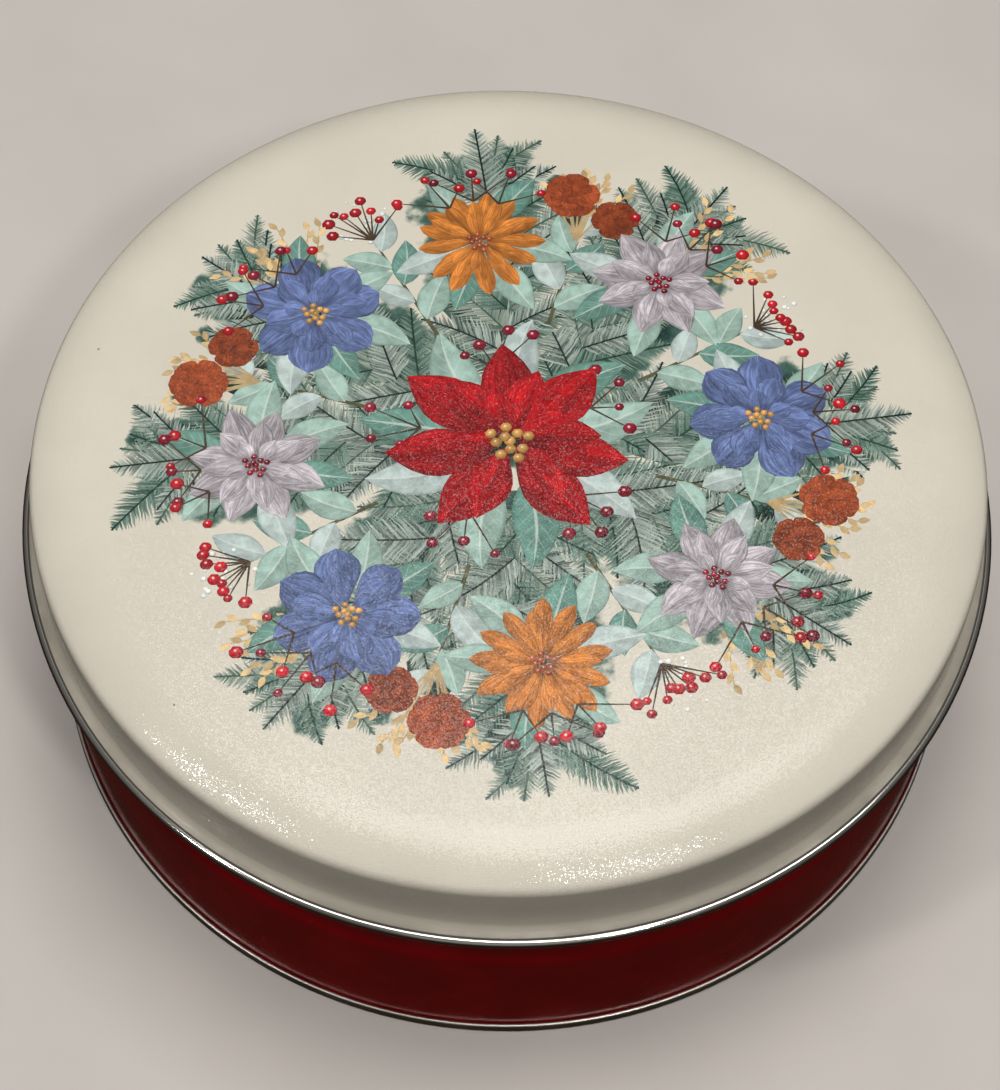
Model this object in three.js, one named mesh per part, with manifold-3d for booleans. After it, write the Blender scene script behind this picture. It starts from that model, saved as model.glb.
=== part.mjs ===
// A round decorative tin in three pieces of thin sheet steel: a drawn lid that lifts off, a rolled body
// wall with a lock seam up its back, and a bottom end that is seamed onto the wall.
// Millimetres, +Z up. The origin is the centre of the ring that the tin stands on.

import * as THREE from 'three';
import { mergeVertices } from 'three/addons/utils/BufferGeometryUtils.js';
import Module from 'manifold-3d';

const quarter = Math.PI / 2;

// The sheet, and how finely round things are cut
const sheet = 0.3;
const roundSteps = 48;
const fineArcStep = THREE.MathUtils.degToRad(30);
const broadArcStep = THREE.MathUtils.degToRad(18);

// The closed tin: the lid's skirt lies flush with the wall below it
const tin = {
  radius: 110.9,
  height: 82.2,
};

// The lid: its depth from the panel to the foot of its roll, and how far the roll stands out of the skirt
const lid = {
  depth: 25,
  shoulderRadius: 7.5,
  flareRadius: 2.4,
  rollRadius: 1.2,
  rollReach: 4.1,
  rollTurn: THREE.MathUtils.degToRad(310),
};

// The body wall: a soft step takes it in to the neck that the lid fits over
const wall = {
  stepHeight: 37.5,
  stepRise: 6,
  neckClearance: 0.7,
  mouthRollRadius: 1.1,
  mouthRollTurn: THREE.MathUtils.degToRad(290),
  lidSeatGap: 0.3,
};

// The double seam that joins the bottom end to the wall
const seam = {
  height: 3.2,
  layerGap: 0.1,
  footBend: 0.5,
  hookTipGap: 0.25,
};

// The bottom end's panel, with a raised bead inside its edge
const bottom = {
  panelHeight: 3.75,
  panelBend: 1.2,
  beadInset: 10,
  beadWidth: 7,
  beadRise: 1,
};

// The lock seam up the back of the wall
const sideSeam = {
  width: 5,
  layers: 2,
  bite: 0.15,
  endGap: 0.6,
};

// Radii and heights that follow from the sizes above, to the sheet's middle where the name says so
const layerPitch = sheet + seam.layerGap;
const wallMiddle = tin.radius - sheet / 2;
const neckRadius = tin.radius - sheet - wall.neckClearance;
const neckMiddle = neckRadius - sheet / 2;
const seamLayer = (count) => wallMiddle + count * layerPitch;
const shoulderCentreRadius = tin.radius - lid.shoulderRadius;
const shoulderCentreHeight = tin.height - lid.shoulderRadius;

const point = (radius, height) => new THREE.Vector2(radius, height);

// Points along an arc of the sheet's middle line, about a centre, from one angle to another
function arc(centre, radius, from, to, step = fineArcStep) {
  const count = Math.max(2, Math.ceil(Math.abs(to - from) / step));
  return Array.from({ length: count + 1 }, (_, i) => {
    const angle = from + ((to - from) * i) / count;
    return point(centre.x + radius * Math.cos(angle), centre.y + radius * Math.sin(angle));
  });
}

// One side of the sheet: the middle line moved sideways, with mitred corners
function sheetSide(middle, offset) {
  const along = (a, b) => new THREE.Vector2().subVectors(b, a).normalize();
  return middle.map((here, i) => {
    const into = along(middle[Math.max(i - 1, 0)], middle[Math.max(i, 1)]);
    const out = along(middle[Math.min(i, middle.length - 2)], middle[Math.min(i + 1, middle.length - 1)]);
    const mitre = new THREE.Vector2().addVectors(into, out).normalize();
    const reach = offset / mitre.dot(into);
    return point(here.x - mitre.y * reach, here.y + mitre.x * reach);
  });
}

// The closed outline of a sheet of even thickness about its middle line
function sheetOutline(middle, startsOnAxis) {
  const outline = [...sheetSide(middle, -sheet / 2), ...sheetSide(middle, sheet / 2).reverse()];
  return startsOnAxis ? outline : [...outline, outline[0].clone()];
}

function turned(outline) {
  return new THREE.LatheGeometry(outline, roundSteps).rotateX(quarter);
}

// The lid's middle line: flat panel, soft shoulder, skirt, flare and a roll that turns out and under
function lidMiddle() {
  const shoulder = point(shoulderCentreRadius, shoulderCentreHeight);
  const roll = point(tin.radius + lid.rollReach - lid.rollRadius, tin.height - lid.depth + lid.rollRadius);
  const rollMiddle = lid.rollRadius - sheet / 2;
  const flare = point(wallMiddle + lid.flareRadius, roll.y + rollMiddle + lid.flareRadius);
  return [
    point(0, tin.height - sheet / 2),
    ...arc(shoulder, lid.shoulderRadius - sheet / 2, quarter, 0, broadArcStep),
    ...arc(flare, lid.flareRadius, 2 * quarter, 3 * quarter),
    ...arc(roll, rollMiddle, quarter, quarter - lid.rollTurn),
  ];
}

// Centre of the body's mouth roll, which touches the inside of the lid's shoulder but for the seat gap
function mouthRollCentre() {
  const radius = neckRadius - wall.mouthRollRadius;
  const inward = radius - shoulderCentreRadius;
  const reach = lid.shoulderRadius - sheet - wall.mouthRollRadius - wall.lidSeatGap;
  return point(radius, shoulderCentreHeight + Math.sqrt(reach ** 2 - inward ** 2));
}

// Centre of the turn at the foot of the wall, one layer above the end that wraps it
function wallFootCentre() {
  return point(seamLayer(1), sheet / 2 + 2 * layerPitch);
}

// The wall's soft step from its full radius in to its neck: two equal arcs, one turning back the other
function neckStep() {
  const inset = wallMiddle - neckMiddle;
  const radius = (wall.stepRise ** 2 + inset ** 2) / (4 * inset);
  const turn = 2 * Math.atan2(inset, wall.stepRise);
  const low = point(wallMiddle - radius, wall.stepHeight);
  const high = point(neckMiddle + radius, wall.stepHeight + wall.stepRise);
  return [...arc(low, radius, 0, turn), ...arc(high, radius, 2 * quarter + turn, 2 * quarter).slice(1)];
}

// The wall's middle line: hook under the seam, turn at the foot, wall, neck and a roll that turns inwards
function wallMiddleLine() {
  const foot = wallFootCentre();
  const hookTop = seam.height - sheet / 2 - layerPitch - seam.hookTipGap;
  return [
    point(seamLayer(2), hookTop),
    ...arc(foot, layerPitch, 0, -2 * quarter),
    ...neckStep(),
    ...arc(mouthRollCentre(), wall.mouthRollRadius - sheet / 2, 0, wall.mouthRollTurn),
  ];
}

// The bottom end's middle line: panel with a raised bead, chuck wall, foot, seam wall and hook
function bottomMiddle() {
  const chuck = seamLayer(-1);
  const outer = seamLayer(3);
  const panelEdge = point(chuck - bottom.panelBend, bottom.panelHeight - bottom.panelBend);
  const footHeight = sheet / 2 + seam.footBend;
  const hookTurn = point(seamLayer(2), seam.height - sheet / 2 - layerPitch);
  const hookEnd = wallFootCentre().y + seam.hookTipGap;
  const beadFoot = chuck - bottom.beadInset;
  const beadTop = bottom.panelHeight + bottom.beadRise;
  return [
    point(0, bottom.panelHeight),
    point(beadFoot - bottom.beadWidth, bottom.panelHeight),
    point(beadFoot - bottom.beadWidth + bottom.beadRise, beadTop),
    point(beadFoot - bottom.beadRise, beadTop),
    point(beadFoot, bottom.panelHeight),
    ...arc(panelEdge, bottom.panelBend, quarter, 0),
    ...arc(point(chuck + seam.footBend, footHeight), seam.footBend, 2 * quarter, 3 * quarter),
    ...arc(point(outer - seam.footBend, footHeight), seam.footBend, -quarter, 0),
    ...arc(hookTurn, layerPitch, 0, 2 * quarter),
    point(seamLayer(1), hookEnd),
  ];
}

const wasm = await Module();
wasm.setup();

function toSolid(geometry) {
  const bare = geometry.clone();
  bare.deleteAttribute('normal');
  bare.deleteAttribute('uv');
  const merged = mergeVertices(bare.index ? bare.toNonIndexed() : bare);
  return new wasm.Manifold(new wasm.Mesh({
    numProp: 3,
    vertProperties: new Float32Array(merged.attributes.position.array),
    triVerts: new Uint32Array(merged.index.array),
  }));
}

function toGeometry(solid) {
  const mesh = solid.getMesh();
  const geometry = new THREE.BufferGeometry();
  geometry.setAttribute('position', new THREE.BufferAttribute(mesh.vertProperties, 3));
  geometry.setIndex(new THREE.BufferAttribute(mesh.triVerts, 1));
  return geometry;
}

// The lock seam: folded layers that lie flat against the inside of one facet at the wall's back
function sideSeamStrip() {
  const facet = Math.cos(Math.PI / roundSteps);
  const inside = (radius) => (radius - sheet) * facet;
  const depth = sideSeam.layers * sheet;
  const low = bottom.panelHeight + sheet / 2 + sideSeam.endGap;
  const high = mouthRollCentre().y - wall.mouthRollRadius - sideSeam.endGap;
  const outerSide = [
    point(inside(tin.radius), low),
    point(inside(tin.radius), wall.stepHeight),
    point(inside(neckRadius), wall.stepHeight + wall.stepRise),
    point(inside(neckRadius), high),
  ];
  const moved = (points, by) => points.map((corner) => point(corner.x + by, corner.y));
  const section = [...moved(outerSide, sideSeam.bite), ...moved(outerSide, -depth).reverse()];
  const extrusion = { depth: sideSeam.width, bevelEnabled: false };
  const strip = new THREE.ExtrudeGeometry(new THREE.Shape(section), extrusion);
  strip.translate(0, 0, -sideSeam.width / 2).rotateX(quarter);
  return strip.rotateZ(quarter + Math.PI / roundSteps);
}

function bodyWall() {
  const shell = toSolid(turned(sheetOutline(wallMiddleLine(), false)));
  return toGeometry(shell.add(toSolid(sideSeamStrip())));
}

function piece(name, geometry, material) {
  const mesh = new THREE.Mesh(geometry, new THREE.MeshStandardMaterial(material));
  mesh.name = name;
  return mesh;
}

const ivoryEnamel = { color: 0xd8d2c2, roughness: 0.38, metalness: 0 };
const redEnamel = { color: 0x6e0c10, roughness: 0.22, metalness: 0 };
const bareTinplate = { color: 0xb9b4a6, roughness: 0.3, metalness: 0.9 };

const assembly = new THREE.Group();
assembly.add(piece('lid_shell', turned(sheetOutline(lidMiddle(), true)), ivoryEnamel));
assembly.add(piece('body_wall', bodyWall(), redEnamel));
assembly.add(piece('bottom_end', turned(sheetOutline(bottomMiddle(), true)), bareTinplate));

export default assembly;
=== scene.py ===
"""A round lidded tin of printed steel sheet, dressed around its packed construction. Metres, +Z up."""

import math
import random
from dataclasses import dataclass

import bmesh
import bpy
import numpy as np
from mathutils import Matrix, Vector
from mathutils.geometry import delaunay_2d_cdt


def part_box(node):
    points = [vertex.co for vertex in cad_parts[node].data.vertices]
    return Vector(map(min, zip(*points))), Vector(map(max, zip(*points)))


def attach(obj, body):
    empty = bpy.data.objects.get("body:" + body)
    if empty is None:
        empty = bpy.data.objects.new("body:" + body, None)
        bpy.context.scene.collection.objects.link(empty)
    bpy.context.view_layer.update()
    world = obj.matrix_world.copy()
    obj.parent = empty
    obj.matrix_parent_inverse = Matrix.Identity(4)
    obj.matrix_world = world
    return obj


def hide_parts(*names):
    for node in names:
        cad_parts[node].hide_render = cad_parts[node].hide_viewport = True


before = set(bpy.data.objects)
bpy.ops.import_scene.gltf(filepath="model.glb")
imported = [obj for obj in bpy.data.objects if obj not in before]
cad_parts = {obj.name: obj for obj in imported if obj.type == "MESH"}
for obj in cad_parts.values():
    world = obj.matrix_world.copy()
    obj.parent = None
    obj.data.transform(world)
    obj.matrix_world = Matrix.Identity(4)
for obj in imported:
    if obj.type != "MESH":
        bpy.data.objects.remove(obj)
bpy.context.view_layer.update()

MM = 0.001
QUARTER = math.pi / 2

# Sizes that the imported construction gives
LID_LOW, LID_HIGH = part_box("lid_shell")
HEIGHT = LID_HIGH.z
RIM_RADIUS = LID_HIGH.x
RIM_LOW = LID_LOW.z
SEAM_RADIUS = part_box("bottom_end")[1].x

# The sheet, and how finely round things are cut
SHEET = 0.3 * MM
ROUND_STEPS = 192
ARC_STEP = math.radians(12)
BROAD_ARC_STEP = math.radians(3)
STRAIGHT_STEP = 8 * MM
NECK_STEP_CUTS = 5
SHARP_ANGLE = math.radians(40)
MERGE_REACH = SHEET / 1000

# The lid and the wall below it
ROLL_REACH = 4.1 * MM
ROLL_RADIUS = 1.2 * MM
ROLL_TURN = math.radians(310)
FLARE_RADIUS = 2.4 * MM
SHOULDER_RADIUS = 7.5 * MM
DOME_RADIUS = 25 * MM
DOME_TILT = math.radians(32)
CORNER_RADIUS = 3 * MM
PANEL_GUARD = 1 * MM
FLAT_TOLERANCE = 0.005 * MM
TIN_RADIUS = RIM_RADIUS - ROLL_REACH
STEP_HEIGHT = 37.5 * MM
STEP_RISE = 6 * MM
NECK_CLEARANCE = 0.7 * MM
MOUTH_ROLL_RADIUS = 1.1 * MM
MOUTH_ROLL_TURN = math.radians(290)
SEAT_GAP = 0.3 * MM

# The base seam and the bottom end
SEAM_HEIGHT = 3.2 * MM
LAYER_GAP = 0.1 * MM
FOOT_BEND = 0.5 * MM
HOOK_TIP_GAP = 0.25 * MM
PANEL_HEIGHT = 3.75 * MM
PANEL_BEND = 1.2 * MM
BEAD_INSET = 10 * MM
BEAD_WIDTH = 7 * MM
BEAD_RISE = 1 * MM

# The lock seam up the back of the wall: a flat strip inside, and a fine groove outside
LOCK_SEAM_TURN = math.radians(93.75)
LOCK_SEAM_WIDTH = 5 * MM
LOCK_SEAM_DEPTH = 0.6 * MM
LOCK_SEAM_END_GAP = 0.6 * MM
LOCK_SEAM_EDGE = 0.15 * MM

# Middle lines of the sheets, in radius and height
LAYER = SHEET + LAYER_GAP
WALL_MIDDLE = TIN_RADIUS - SHEET / 2
NECK_RADIUS = TIN_RADIUS - SHEET - NECK_CLEARANCE
NECK_MIDDLE = NECK_RADIUS - SHEET / 2
DOME_REACH = DOME_RADIUS - CORNER_RADIUS
CORNER_CENTRE = (TIN_RADIUS - CORNER_RADIUS, HEIGHT - DOME_RADIUS + DOME_REACH * math.cos(DOME_TILT))
PANEL_RADIUS = CORNER_CENTRE[0] - DOME_REACH * math.sin(DOME_TILT)
DOME_CENTRE = (PANEL_RADIUS, HEIGHT - DOME_RADIUS)
SEAT_CENTRE = (TIN_RADIUS - SHOULDER_RADIUS, HEIGHT - SHOULDER_RADIUS)
FOOT_CENTRE = (WALL_MIDDLE + LAYER, SHEET / 2 + 2 * LAYER)


def arc(centre, radius, start, stop, step=ARC_STEP):
    """Points of radius and height along an arc about a centre."""
    count = max(2, math.ceil(abs(stop - start) / step))
    angles = [start + (stop - start) * i / count for i in range(count + 1)]
    return [(centre[0] + radius * math.cos(a), centre[1] + radius * math.sin(a)) for a in angles]


def line(start, stop):
    """Points along a straight stretch, without its ends."""
    count = max(1, math.ceil(math.dist(start, stop) / STRAIGHT_STEP))
    shares = [i / count for i in range(1, count)]
    return [(start[0] + (stop[0] - start[0]) * s, start[1] + (stop[1] - start[1]) * s) for s in shares]


def lid_middle():
    """Panel, domed shoulder with a tight corner, skirt, flare, and the roll that turns out and under."""
    roll = (RIM_RADIUS - ROLL_RADIUS, RIM_LOW + ROLL_RADIUS)
    roll_middle = ROLL_RADIUS - SHEET / 2
    flare = (WALL_MIDDLE + FLARE_RADIUS, roll[1] + roll_middle + FLARE_RADIUS)
    slope = QUARTER - DOME_TILT
    dome = arc(DOME_CENTRE, DOME_RADIUS - SHEET / 2, QUARTER, slope, BROAD_ARC_STEP)
    corner = arc(CORNER_CENTRE, CORNER_RADIUS - SHEET / 2, slope, 0)
    bend = arc(flare, FLARE_RADIUS, 2 * QUARTER, 3 * QUARTER)
    return [
        (0, HEIGHT - SHEET / 2),
        *dome,
        *corner[1:],
        *line(corner[-1], bend[0]),
        *bend,
        *arc(roll, roll_middle, QUARTER, QUARTER - ROLL_TURN),
    ]


def mouth_roll_centre():
    """The body's mouth roll comes up under the lid's shoulder, but for the seat gap."""
    radius = NECK_RADIUS - MOUTH_ROLL_RADIUS
    inward = radius - SEAT_CENTRE[0]
    reach = SHOULDER_RADIUS - SHEET - MOUTH_ROLL_RADIUS - SEAT_GAP
    return (radius, SEAT_CENTRE[1] + math.sqrt(reach**2 - inward**2))


def neck_step():
    """The wall's soft step in to its neck: two equal arcs that turn opposite ways."""
    inset = WALL_MIDDLE - NECK_MIDDLE
    radius = (STEP_RISE**2 + inset**2) / (4 * inset)
    turn = 2 * math.atan2(inset, STEP_RISE)
    low = (WALL_MIDDLE - radius, STEP_HEIGHT)
    high = (NECK_MIDDLE + radius, STEP_HEIGHT + STEP_RISE)
    fine = turn / NECK_STEP_CUTS
    lower = arc(low, radius, 0, turn, fine)
    upper = arc(high, radius, 2 * QUARTER + turn, 2 * QUARTER, fine)
    return [*lower, *upper[1:]]


def wall_middle():
    """Hook under the seam, turn at the foot, wall, neck, and the roll that turns inwards."""
    hook_top = SEAM_HEIGHT - SHEET / 2 - LAYER - HOOK_TIP_GAP
    foot = arc(FOOT_CENTRE, LAYER, 0, -2 * QUARTER)
    step = neck_step()
    mouth = arc(mouth_roll_centre(), MOUTH_ROLL_RADIUS - SHEET / 2, 0, MOUTH_ROLL_TURN)
    return [
        (WALL_MIDDLE + 2 * LAYER, hook_top),
        *foot,
        *line(foot[-1], step[0]),
        *step,
        *line(step[-1], mouth[0]),
        *mouth,
    ]


def end_middle():
    """Panel with its bead, chuck wall, foot, seam wall, and the hook inside the wall's hook."""
    chuck = WALL_MIDDLE - LAYER
    outer = SEAM_RADIUS - SHEET / 2
    foot_height = SHEET / 2 + FOOT_BEND
    bead_foot = chuck - BEAD_INSET
    bead_top = PANEL_HEIGHT + BEAD_RISE
    hook_turn = (WALL_MIDDLE + 2 * LAYER, SEAM_HEIGHT - SHEET / 2 - LAYER)
    ridge = [
        (bead_foot - BEAD_WIDTH, PANEL_HEIGHT),
        (bead_foot - BEAD_WIDTH + BEAD_RISE, bead_top),
        (bead_foot - BEAD_RISE, bead_top),
        (bead_foot, PANEL_HEIGHT),
    ]
    return [
        (0, PANEL_HEIGHT),
        *line((0, PANEL_HEIGHT), ridge[0]),
        *ridge,
        *arc((chuck - PANEL_BEND, PANEL_HEIGHT - PANEL_BEND), PANEL_BEND, QUARTER, 0),
        *arc((chuck + FOOT_BEND, foot_height), FOOT_BEND, 2 * QUARTER, 3 * QUARTER),
        *arc((outer - FOOT_BEND, foot_height), FOOT_BEND, -QUARTER, 0),
        *arc(hook_turn, LAYER, 0, 2 * QUARTER),
        (WALL_MIDDLE + LAYER, FOOT_CENTRE[1] + HOOK_TIP_GAP),
    ]


def link(name, data):
    item = bpy.data.objects.new(name, data)
    bpy.context.scene.collection.objects.link(item)
    return item


def spun_sheet(name, middle, materials):
    """A sheet of even thickness, spun about the tin's axis from its middle line, outer skin first."""
    bm = bmesh.new()
    run = bm.verts.layers.float.new("run")
    corners = [bm.verts.new((radius, 0, height)) for radius, height in middle]
    for before, here in zip(corners, corners[1:]):
        here[run] = before[run] + (here.co - before.co).length
    edges = [bm.edges.new(pair) for pair in zip(corners, corners[1:])]
    bmesh.ops.spin(
        bm, geom=corners + edges, axis=(0, 0, 1), angle=math.tau, steps=ROUND_STEPS, use_merge=True,
    )
    bmesh.ops.remove_doubles(bm, verts=bm.verts, dist=MERGE_REACH)
    bmesh.ops.recalc_face_normals(bm, faces=bm.faces)
    mesh = bpy.data.meshes.new(name)
    bm.to_mesh(mesh)
    bm.free()
    for material in materials:
        mesh.materials.append(material)
    piece = link(name, mesh)
    thick = piece.modifiers.new("Sheet", "SOLIDIFY")
    thick.thickness = SHEET
    thick.offset = 0
    thick.use_even_offset = True
    thick.material_offset = 1
    thick.material_offset_rim = 1
    return applied(piece)


def applied(piece):
    """The piece with its modifiers made part of its mesh, and shaded smooth."""
    bpy.context.view_layer.update()
    seen = piece.evaluated_get(bpy.context.evaluated_depsgraph_get())
    mesh = bpy.data.meshes.new_from_object(seen)
    piece.modifiers.clear()
    piece.data = mesh
    mesh.name = piece.name
    mesh.shade_smooth()
    return piece


def raise_lock_seam(wall):
    """Cut a strip out of the inner skin at the wall's back, and raise it inwards with softened edges."""
    out = Vector((math.cos(LOCK_SEAM_TURN), math.sin(LOCK_SEAM_TURN), 0))
    along = Vector((-out.y, out.x, 0))
    up = Vector((0, 0, 1))
    low = PANEL_HEIGHT + SHEET / 2 + LOCK_SEAM_END_GAP
    high = mouth_roll_centre()[1] - MOUTH_ROLL_RADIUS - LOCK_SEAM_END_GAP
    half = LOCK_SEAM_WIDTH / 2
    bm = bmesh.new()
    bm.from_mesh(wall.data)

    def skin(side_reach, end_reach):
        """Faces of the inner skin whose middles lie near the strip."""
        for face in bm.faces:
            middle = face.calc_center_median()
            beside_strip = middle.dot(out) > 0 and abs(middle.dot(along)) < half + side_reach
            within_ends = low - end_reach < middle.z < high + end_reach
            if face.material_index == 1 and beside_strip and within_ends:
                yield face

    cuts = ((half * along, along), (-half * along, along), (low * up, up), (high * up, up))
    for place, normal in cuts:
        faces = list(skin(LOCK_SEAM_WIDTH, STRAIGHT_STEP))
        edges = {edge for face in faces for edge in face.edges}
        corners = {corner for face in faces for corner in face.verts}
        geom = [*faces, *edges, *corners]
        bmesh.ops.bisect_plane(bm, geom=geom, dist=MERGE_REACH, plane_co=place, plane_no=normal)
    grown = bmesh.ops.extrude_face_region(bm, geom=list(skin(0, 0)))["geom"]
    raised = [item for item in grown if isinstance(item, bmesh.types.BMVert)]
    bmesh.ops.translate(bm, vec=-LOCK_SEAM_DEPTH * out, verts=raised)
    top = {item for item in grown if isinstance(item, bmesh.types.BMFace)}
    border = [edge for edge in bm.edges if len(top.intersection(edge.link_faces)) == 1]
    bmesh.ops.bevel(
        bm, geom=border, offset=LOCK_SEAM_EDGE, segments=2, profile=0.5, affect="EDGES", material=-1,
    )
    bmesh.ops.recalc_face_normals(bm, faces=bm.faces)
    for edge in bm.edges:
        edge.smooth = edge.calc_face_angle(0) < SHARP_ANGLE
    bm.to_mesh(wall.data)
    bm.free()


# The print is drawn in millimetres about the middle of the lid, and scaled once
PRINT_RADIUS = 94
# A spine's bend is its turn per millimetre, never quite nought
STRAIGHT = 1e-5
# Triangles are kept inside the rim, and points nearer than this are one
INSIDE = 1
CUT_TOLERANCE = 1e-6
FINE_LAYERS = ("wash", "back", "middle", "front")
FROND_SHARE = 0.25
NEEDLE_SLANT = 0.8
NEEDLE_SPREAD = 1.15
chance = random.Random(7)
between = chance.uniform


def paint(code):
    """A paint's linear colour, from its code as red, green and blue bytes."""
    shares = [(code >> shift & 255) / 255 for shift in (16, 8, 0)]
    return tuple(((s + 0.055) / 1.055) ** 2.4 if s > 0.04045 else s / 12.92 for s in shares)


MINT = paint(0xA9C9BC)
SEA = paint(0x6F9E90)
ICE = paint(0xC5D6D2)
CRIMSON = paint(0xC01A26)
WINE = paint(0x8E1830)
RUST = paint(0xB4552F)
STRAW = paint(0xDDBE8A)
AMBER = paint(0xD9A050)
SLATE_BLUE = paint(0x7386BA)
PALE_LILAC = paint(0xCFC7CD)
ORANGE = paint(0xE08A3C)
SCARLET = paint(0xC4161E)
TWIG_BROWN = paint(0x4A3A2A)
SPRIG_OLIVE = paint(0x5B5A3C)
FROST = paint(0xE9ECE6)


def toned(tint, factor):
    return tuple(channel * factor for channel in tint)


def polar(radius, angle):
    return (radius * math.cos(angle), radius * math.sin(angle))


def beside(point, distance, heading):
    return (point[0] + distance * math.cos(heading), point[1] + distance * math.sin(heading))


# Each form's half width at a share of its length, and the steps of its edge
FORMS = {
    "leaf": (lambda s: np.sin(math.pi * s**0.85) ** 0.9, 9),
    "petal": (lambda s: np.sin(math.pi * s**1.7) ** 0.7, 9),
    "round": (lambda s: np.sin(math.pi * s**1.5) ** 0.5, 7),
    "pointed": (lambda s: np.sin(math.pi * s**1.15), 9),
    "disc": (lambda s: 2 * np.sqrt(np.maximum(s * (1 - s), 0)), 5),
    "stem": (lambda s: 1 - 0.6 * s, 5),
    "blot": (lambda s: np.sqrt(np.maximum(np.sin(math.pi * s), 0)), 12),
}

# How a solid shape is painted
PLAIN = (0, 0, 0)
VEINED = (1, 0, 0)
STREAKED = (0, 1, 0)
BEADED = (0, 0, 1)


@dataclass
class Stroke:
    """One printed shape, which grows from its foot along an evenly bent spine."""

    layer: str
    form: str
    foot: tuple
    heading: float
    length: float
    width: float
    bend: float = STRAIGHT
    tint: tuple = (1, 1, 1)
    style: tuple = PLAIN
    half: int = 0
    seed: float = 0.5

    def at(self, along, across):
        """The point so far along the spine and so far to the left of it."""
        turned = self.heading + self.bend * along
        x = (math.sin(turned) - math.sin(self.heading)) / self.bend - across * math.sin(turned)
        y = (math.cos(self.heading) - math.cos(turned)) / self.bend + across * math.cos(turned)
        return (self.foot[0] + x, self.foot[1] + y)

    def edge(self):
        """The left edge from foot to tip, as places along and across."""
        if self.form == "frond":
            feet = [self.length * i / 8 for i in range(9)]
            tapers = [(1 - (foot / self.length) ** 2) ** 0.8 for foot in feet]
            reach = [self.width * NEEDLE_SPREAD * taper for taper in tapers]
            tips = [(foot + NEEDLE_SLANT * out, round(out, 4)) for foot, out in zip(feet, reach)]
            return [(0, 0), *tips]
        profile, steps = FORMS[self.form]
        shares = [i / steps for i in range(steps + 1)]
        return [(self.length * s, round(self.width * float(profile(s)), 4)) for s in shares]

    def outline(self):
        """Out along one side and back along the other, or the spine for a half; always anticlockwise."""
        edge = self.edge()
        if self.half:
            there = [(along, across * self.half) for along, across in edge]
            back = [(along, 0) for along, across in reversed(edge[1:-1])]
        else:
            there = edge
            back = [(along, -across) for along, across in reversed(edge) if across > 0]
        ring = [self.at(*place) for place in there + back]
        return ring if self.half < 0 else ring[::-1]


LIGHT_FROM = math.radians(120)
LEAF_BENDS = (-0.03, 0.03)


def folded(form, foot, heading, length, width, tint, style, bend=STRAIGHT, shade=0.72):
    """A leaf or petal in two halves along its spine, one in shade."""
    seed = between(0.1, 0.9)
    lit = 1 if math.cos(heading + QUARTER - LIGHT_FROM) > 0 else -1
    for half in (1, -1):
        half_tint = tint if half == lit else toned(tint, shade)
        yield Stroke("solid", form, foot, heading, length, width, bend, half_tint, style, half, seed)


def leaf(foot, heading, length, tint, share=0.25):
    bend = between(*LEAF_BENDS)
    yield from folded("leaf", foot, heading, length, length * share, tint, VEINED, bend, 0.78)


def bead(centre, radius, tint):
    foot = beside(centre, -radius, LIGHT_FROM)
    yield Stroke("solid", "disc", foot, LIGHT_FROM, 2 * radius, radius, tint=tint, style=BEADED)


def stem(foot, heading, length, width, tint):
    yield Stroke("solid", "stem", foot, heading, length, width, tint=tint)


def frond(layer, foot, heading, length, bend, form="frond"):
    """A frond or a wash. Its whole length and its seed are kept as one number."""
    whole = round(length)
    seed = between(0.05, 0.95)
    yield Stroke(layer, form, foot, heading, whole, whole * FROND_SHARE, bend, seed=seed)


def blot(foot, heading, length):
    yield from frond("wash", foot, heading, length, STRAIGHT, "blot")


@dataclass
class Bloom:
    """How one kind of flower grows: rows of petals from the outside in, and its eye."""

    radius: float
    form: str
    rows: tuple
    tint: tuple
    heart: tuple


EYE_SHARE = 0.15
EYE_BEADS = 11
EYE_TURN = 2.4


def bloom(kind, centre, turn):
    """Rows of petals, and beads in a spiral over their feet."""
    for count, reach, share in kind.rows:
        turn += math.pi / count
        for i in range(count):
            heading = turn + math.tau * i / count + between(-0.09, 0.09)
            length = kind.radius * reach * between(0.93, 1.05)
            tint = toned(kind.tint, between(0.82, 1.12) * (1.25 - 0.25 * reach))
            foot = beside(centre, 0.06 * kind.radius, heading)
            bend = between(-0.015, 0.015)
            yield from folded(kind.form, foot, heading, length, length * share, tint, STREAKED, bend)
    eye = EYE_SHARE * kind.radius
    for i in range(EYE_BEADS):
        place = beside(centre, eye * math.sqrt(i / EYE_BEADS) * 1.3, EYE_TURN * i)
        yield from bead(place, 0.05 * kind.radius, toned(kind.heart, between(0.7, 1.15)))


BERRY_SPREAD = 0.95
BERRY_RADII = (1.0, 1.6)
STALK_LENGTHS = (6, 13)
STALK_WIDTH = 0.28


def fanned(heading, spread, i, count):
    """The heading of one of several things that fan out evenly."""
    return heading + spread * (2 * i / (count - 1) - 1)


def berries(foot, heading, count, tint):
    """A loose spray of beads, each on its own thin stalk."""
    for i in range(count):
        turned = fanned(heading, BERRY_SPREAD, i, count) + between(-0.1, 0.1)
        length = between(*STALK_LENGTHS)
        yield from stem(foot, turned, length, STALK_WIDTH, TWIG_BROWN)
        berry = beside(foot, length, turned)
        yield from bead(berry, between(*BERRY_RADII), toned(tint, between(0.65, 1.2)))


# Each row of a rose: its petals, where they begin and how long they are, as shares of its radius
ROSE_ROWS = ((6, 0.3, 0.7), (6, 0.2, 0.6), (5, 0.12, 0.48), (4, 0.02, 0.38), (3, 0, 0.24))


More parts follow.
